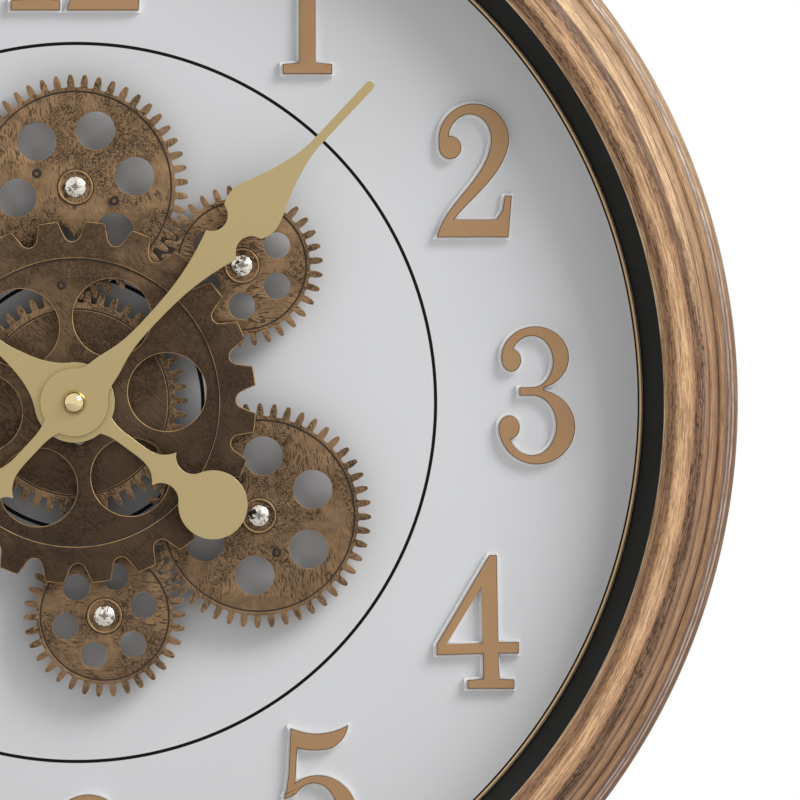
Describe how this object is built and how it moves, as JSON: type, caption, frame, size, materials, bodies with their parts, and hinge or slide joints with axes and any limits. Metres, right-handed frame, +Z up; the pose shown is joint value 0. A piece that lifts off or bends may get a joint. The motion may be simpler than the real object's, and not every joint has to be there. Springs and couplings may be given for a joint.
{
  "type": "wall clock",
  "caption": "Round wall clock with a moulded wood ring, white dial, raised bronze numerals, spade hands and a turning train of bronze-finished show gears.",
  "frame": {"origin": "on the arbor axis, in the plane of the wall that the clock hangs on", "axes": "+Z up towards twelve, +Y into the wall, the dial faces -Y, +X to the right as seen from the front"},
  "size_m": [0.59, 0.07, 0.59],
  "materials": {
    "frame_wood": "brushed wood grain along the ring, satin lacquer",
    "liner_black": "satin black paint",
    "gilt": "satin gilt",
    "dial_white": "matt white with two printed black circles",
    "numeral_white": "matt white",
    "numeral_bronze": "satin bronze paint",
    "gear_bronze": "antiqued bronze paint with worn edges and dark pits",
    "wheel_bronze": "dark antiqued bronze paint",
    "hand_gold": "satin pale gold",
    "polished_brass": "polished",
    "bright_screw": "bright plated",
    "zinc_steel": "zinc plated",
    "black_plastic": "fine textured",
    "white_acetal": "plain moulded",
    "motor_can": "drawn steel can",
    "cell_wrap": null,
    "coil_copper": "enamelled copper wire",
    "board_green": "solder mask"
  },
  "bodies": {
    "root": {"frame_ring": "frame_wood", "liner_ring": "liner_black", "trim_ring": "gilt", "dial_board": "dial_white", "numeral_bases": "numeral_white", "numeral_01": "numeral_bronze", "numeral_02": "numeral_bronze", "numeral_03": "numeral_bronze", "numeral_04": "numeral_bronze", "numeral_05": "numeral_bronze", "numeral_06": "numeral_bronze", "numeral_07": "numeral_bronze", "numeral_08": "numeral_bronze", "numeral_09": "numeral_bronze", "numeral_10": "numeral_bronze", "numeral_11": "numeral_bronze", "numeral_12": "numeral_bronze", "movement_nut": "polished_brass", "gear_screws": "bright_screw", "centre_screws": "bright_screw", "clip_screws": "bright_screw", "hanger_screws": "bright_screw", "motor_screws": "bright_screw", "cover_screws": "bright_screw", "gear_posts": "zinc_steel", "post_nuts": "zinc_steel", "centre_post": "zinc_steel", "retaining_washer": "zinc_steel", "hanger_plate": "zinc_steel", "dial_clips": "zinc_steel", "motor_case": "black_plastic", "motor_cover": "black_plastic", "movement_case": "black_plastic", "movement_cover": "black_plastic", "gear_motor": "motor_can", "motor_cells": "cell_wrap", "movement_cell": "cell_wrap", "movement_coil": "coil_copper", "movement_board": "board_green"},
    "train": {"sun_gear": "gear_bronze", "drive_wheel": "white_acetal", "main_wheel": "wheel_bronze", "wheel_screws": "bright_screw"},
    "pinion": {"motor_pinion": "white_acetal"},
    "minute": {"minute_arbor": "polished_brass", "minute_hand": "hand_gold", "hand_nut": "polished_brass"},
    "hour": {"hour_wheel": "white_acetal", "hour_hand": "hand_gold"},
    "setting": {"minute_wheel": "white_acetal", "setting_knob": "black_plastic"},
    "switch": {"motor_switch": "black_plastic"},
    "large_1": {"large_gear_1": "gear_bronze"},
    "small_1": {"small_gear_1": "gear_bronze"},
    "large_2": {"large_gear_2": "gear_bronze"},
    "small_2": {"small_gear_2": "gear_bronze"},
    "large_3": {"large_gear_3": "gear_bronze"},
    "small_3": {"small_gear_3": "gear_bronze"}
  },
  "joints": [
    {"name": "train_turn", "type": "hinge", "parent": "root", "child": "train", "pos_m": [0, -0.041, 0], "axis": [0, -1, 0], "continuous": true},
    {"name": "pinion_turn", "type": "hinge", "parent": "root", "child": "pinion", "pos_m": [0.0357, -0.033, 0], "axis": [0, -1, 0], "continuous": true},
    {"name": "minute_turn", "type": "hinge", "parent": "root", "child": "minute", "pos_m": [0, -0.05, 0], "axis": [0, -1, 0], "continuous": true},
    {"name": "hour_turn", "type": "hinge", "parent": "root", "child": "hour", "pos_m": [0, -0.045, 0], "axis": [0, -1, 0], "continuous": true},
    {"name": "setting_turn", "type": "hinge", "parent": "root", "child": "setting", "pos_m": [0, -0.01, 0.012], "axis": [0, -1, 0], "continuous": true},
    {"name": "large_1_turn", "type": "hinge", "parent": "root", "child": "large_1", "pos_m": [0, -0.0385, 0.096], "axis": [0, -1, 0], "continuous": true},
    {"name": "small_1_turn", "type": "hinge", "parent": "root", "child": "small_1", "pos_m": [0.07415, -0.0385, 0.06098], "axis": [0, -1, 0], "continuous": true},
    {"name": "large_2_turn", "type": "hinge", "parent": "root", "child": "large_2", "pos_m": [0.08168, -0.0385, -0.05044], "axis": [0, -1, 0], "continuous": true},
    {"name": "small_2_turn", "type": "hinge", "parent": "root", "child": "small_2", "pos_m": [0.01292, -0.0385, -0.09513], "axis": [0, -1, 0], "continuous": true},
    {"name": "large_3_turn", "type": "hinge", "parent": "root", "child": "large_3", "pos_m": [-0.08314, -0.0385, -0.048], "axis": [0, -1, 0], "continuous": true},
    {"name": "small_3_turn", "type": "hinge", "parent": "root", "child": "small_3", "pos_m": [-0.08988, -0.0385, 0.03372], "axis": [0, -1, 0], "continuous": true},
    {"name": "switch_slide", "type": "slide", "parent": "root", "child": "switch", "axis": [0, 0, 1], "range_m": [0, 0.004]}
  ],
  "couplings": [
    {"joint": "pinion_turn", "follows": "train_turn", "ratio": -6},
    {"joint": "hour_turn", "follows": "minute_turn", "ratio": 0.083333},
    {"joint": "setting_turn", "follows": "minute_turn", "ratio": -0.33333},
    {"joint": "large_1_turn", "follows": "train_turn", "ratio": -1},
    {"joint": "small_1_turn", "follows": "train_turn", "ratio": 1.4118},
    {"joint": "large_2_turn", "follows": "train_turn", "ratio": -1},
    {"joint": "small_2_turn", "follows": "train_turn", "ratio": 1.4118},
    {"joint": "large_3_turn", "follows": "train_turn", "ratio": -1},
    {"joint": "small_3_turn", "follows": "train_turn", "ratio": 1.4118}
  ]
}
